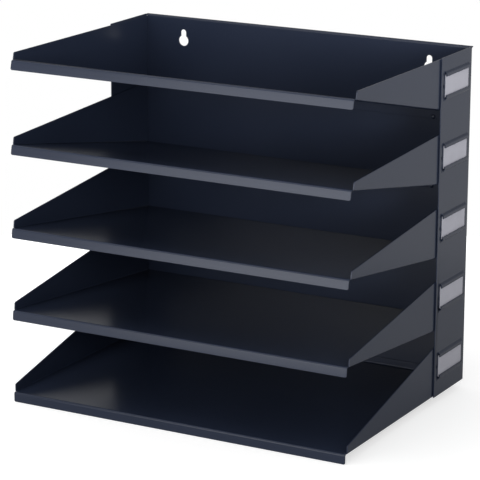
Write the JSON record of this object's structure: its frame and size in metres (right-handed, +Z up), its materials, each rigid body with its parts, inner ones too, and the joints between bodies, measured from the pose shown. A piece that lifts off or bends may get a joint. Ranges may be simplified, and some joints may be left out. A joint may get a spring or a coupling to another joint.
{
  "type": "medical chart rack",
  "caption": "Wall-hung sheet-steel rack of fanned, open-fronted trays with tapered side flanges, for charts and papers laid flat, with slide-in label cards on one wing.",
  "frame": {"origin": "under the middle of the rack's box, at the height of the base tray's front lip edge", "axes": "+X to the rack's right, seen from the front; +Y to the wall; +Z up"},
  "size_m": [0.3318, 0.2352, 0.3111],
  "materials": {
    "powder_coat": "fine-grained, semi-gloss anthracite powder coat",
    "label_card": "matt, pale lavender grey"
  },
  "bodies": {
    "rack": {"back_shell": "powder_coat", "tray_1": "powder_coat", "tray_2": "powder_coat", "tray_3": "powder_coat", "tray_4": "powder_coat", "tray_5": "powder_coat", "rivet_1_left": "powder_coat", "rivet_1_right": "powder_coat", "rivet_2_left": "powder_coat", "rivet_2_right": "powder_coat", "rivet_3_left": "powder_coat", "rivet_3_right": "powder_coat", "rivet_4_left": "powder_coat", "rivet_4_right": "powder_coat", "rivet_5_left": "powder_coat", "rivet_5_right": "powder_coat"},
    "card_1": {"label_card_1": "label_card"},
    "card_2": {"label_card_2": "label_card"},
    "card_3": {"label_card_3": "label_card"},
    "card_4": {"label_card_4": "label_card"},
    "card_5": {"label_card_5": "label_card"}
  },
  "joints": [
    {"name": "card_1_slide", "type": "slide", "parent": "rack", "child": "card_1", "axis": [0, -1, 0], "range_m": [0, 0.0456]},
    {"name": "card_2_slide", "type": "slide", "parent": "rack", "child": "card_2", "axis": [0, -1, 0], "range_m": [0, 0.0456]},
    {"name": "card_3_slide", "type": "slide", "parent": "rack", "child": "card_3", "axis": [0, -1, 0], "range_m": [0, 0.0456]},
    {"name": "card_4_slide", "type": "slide", "parent": "rack", "child": "card_4", "axis": [0, -1, 0], "range_m": [0, 0.0456]},
    {"name": "card_5_slide", "type": "slide", "parent": "rack", "child": "card_5", "axis": [0, -1, 0], "range_m": [0, 0.0456]}
  ]
}
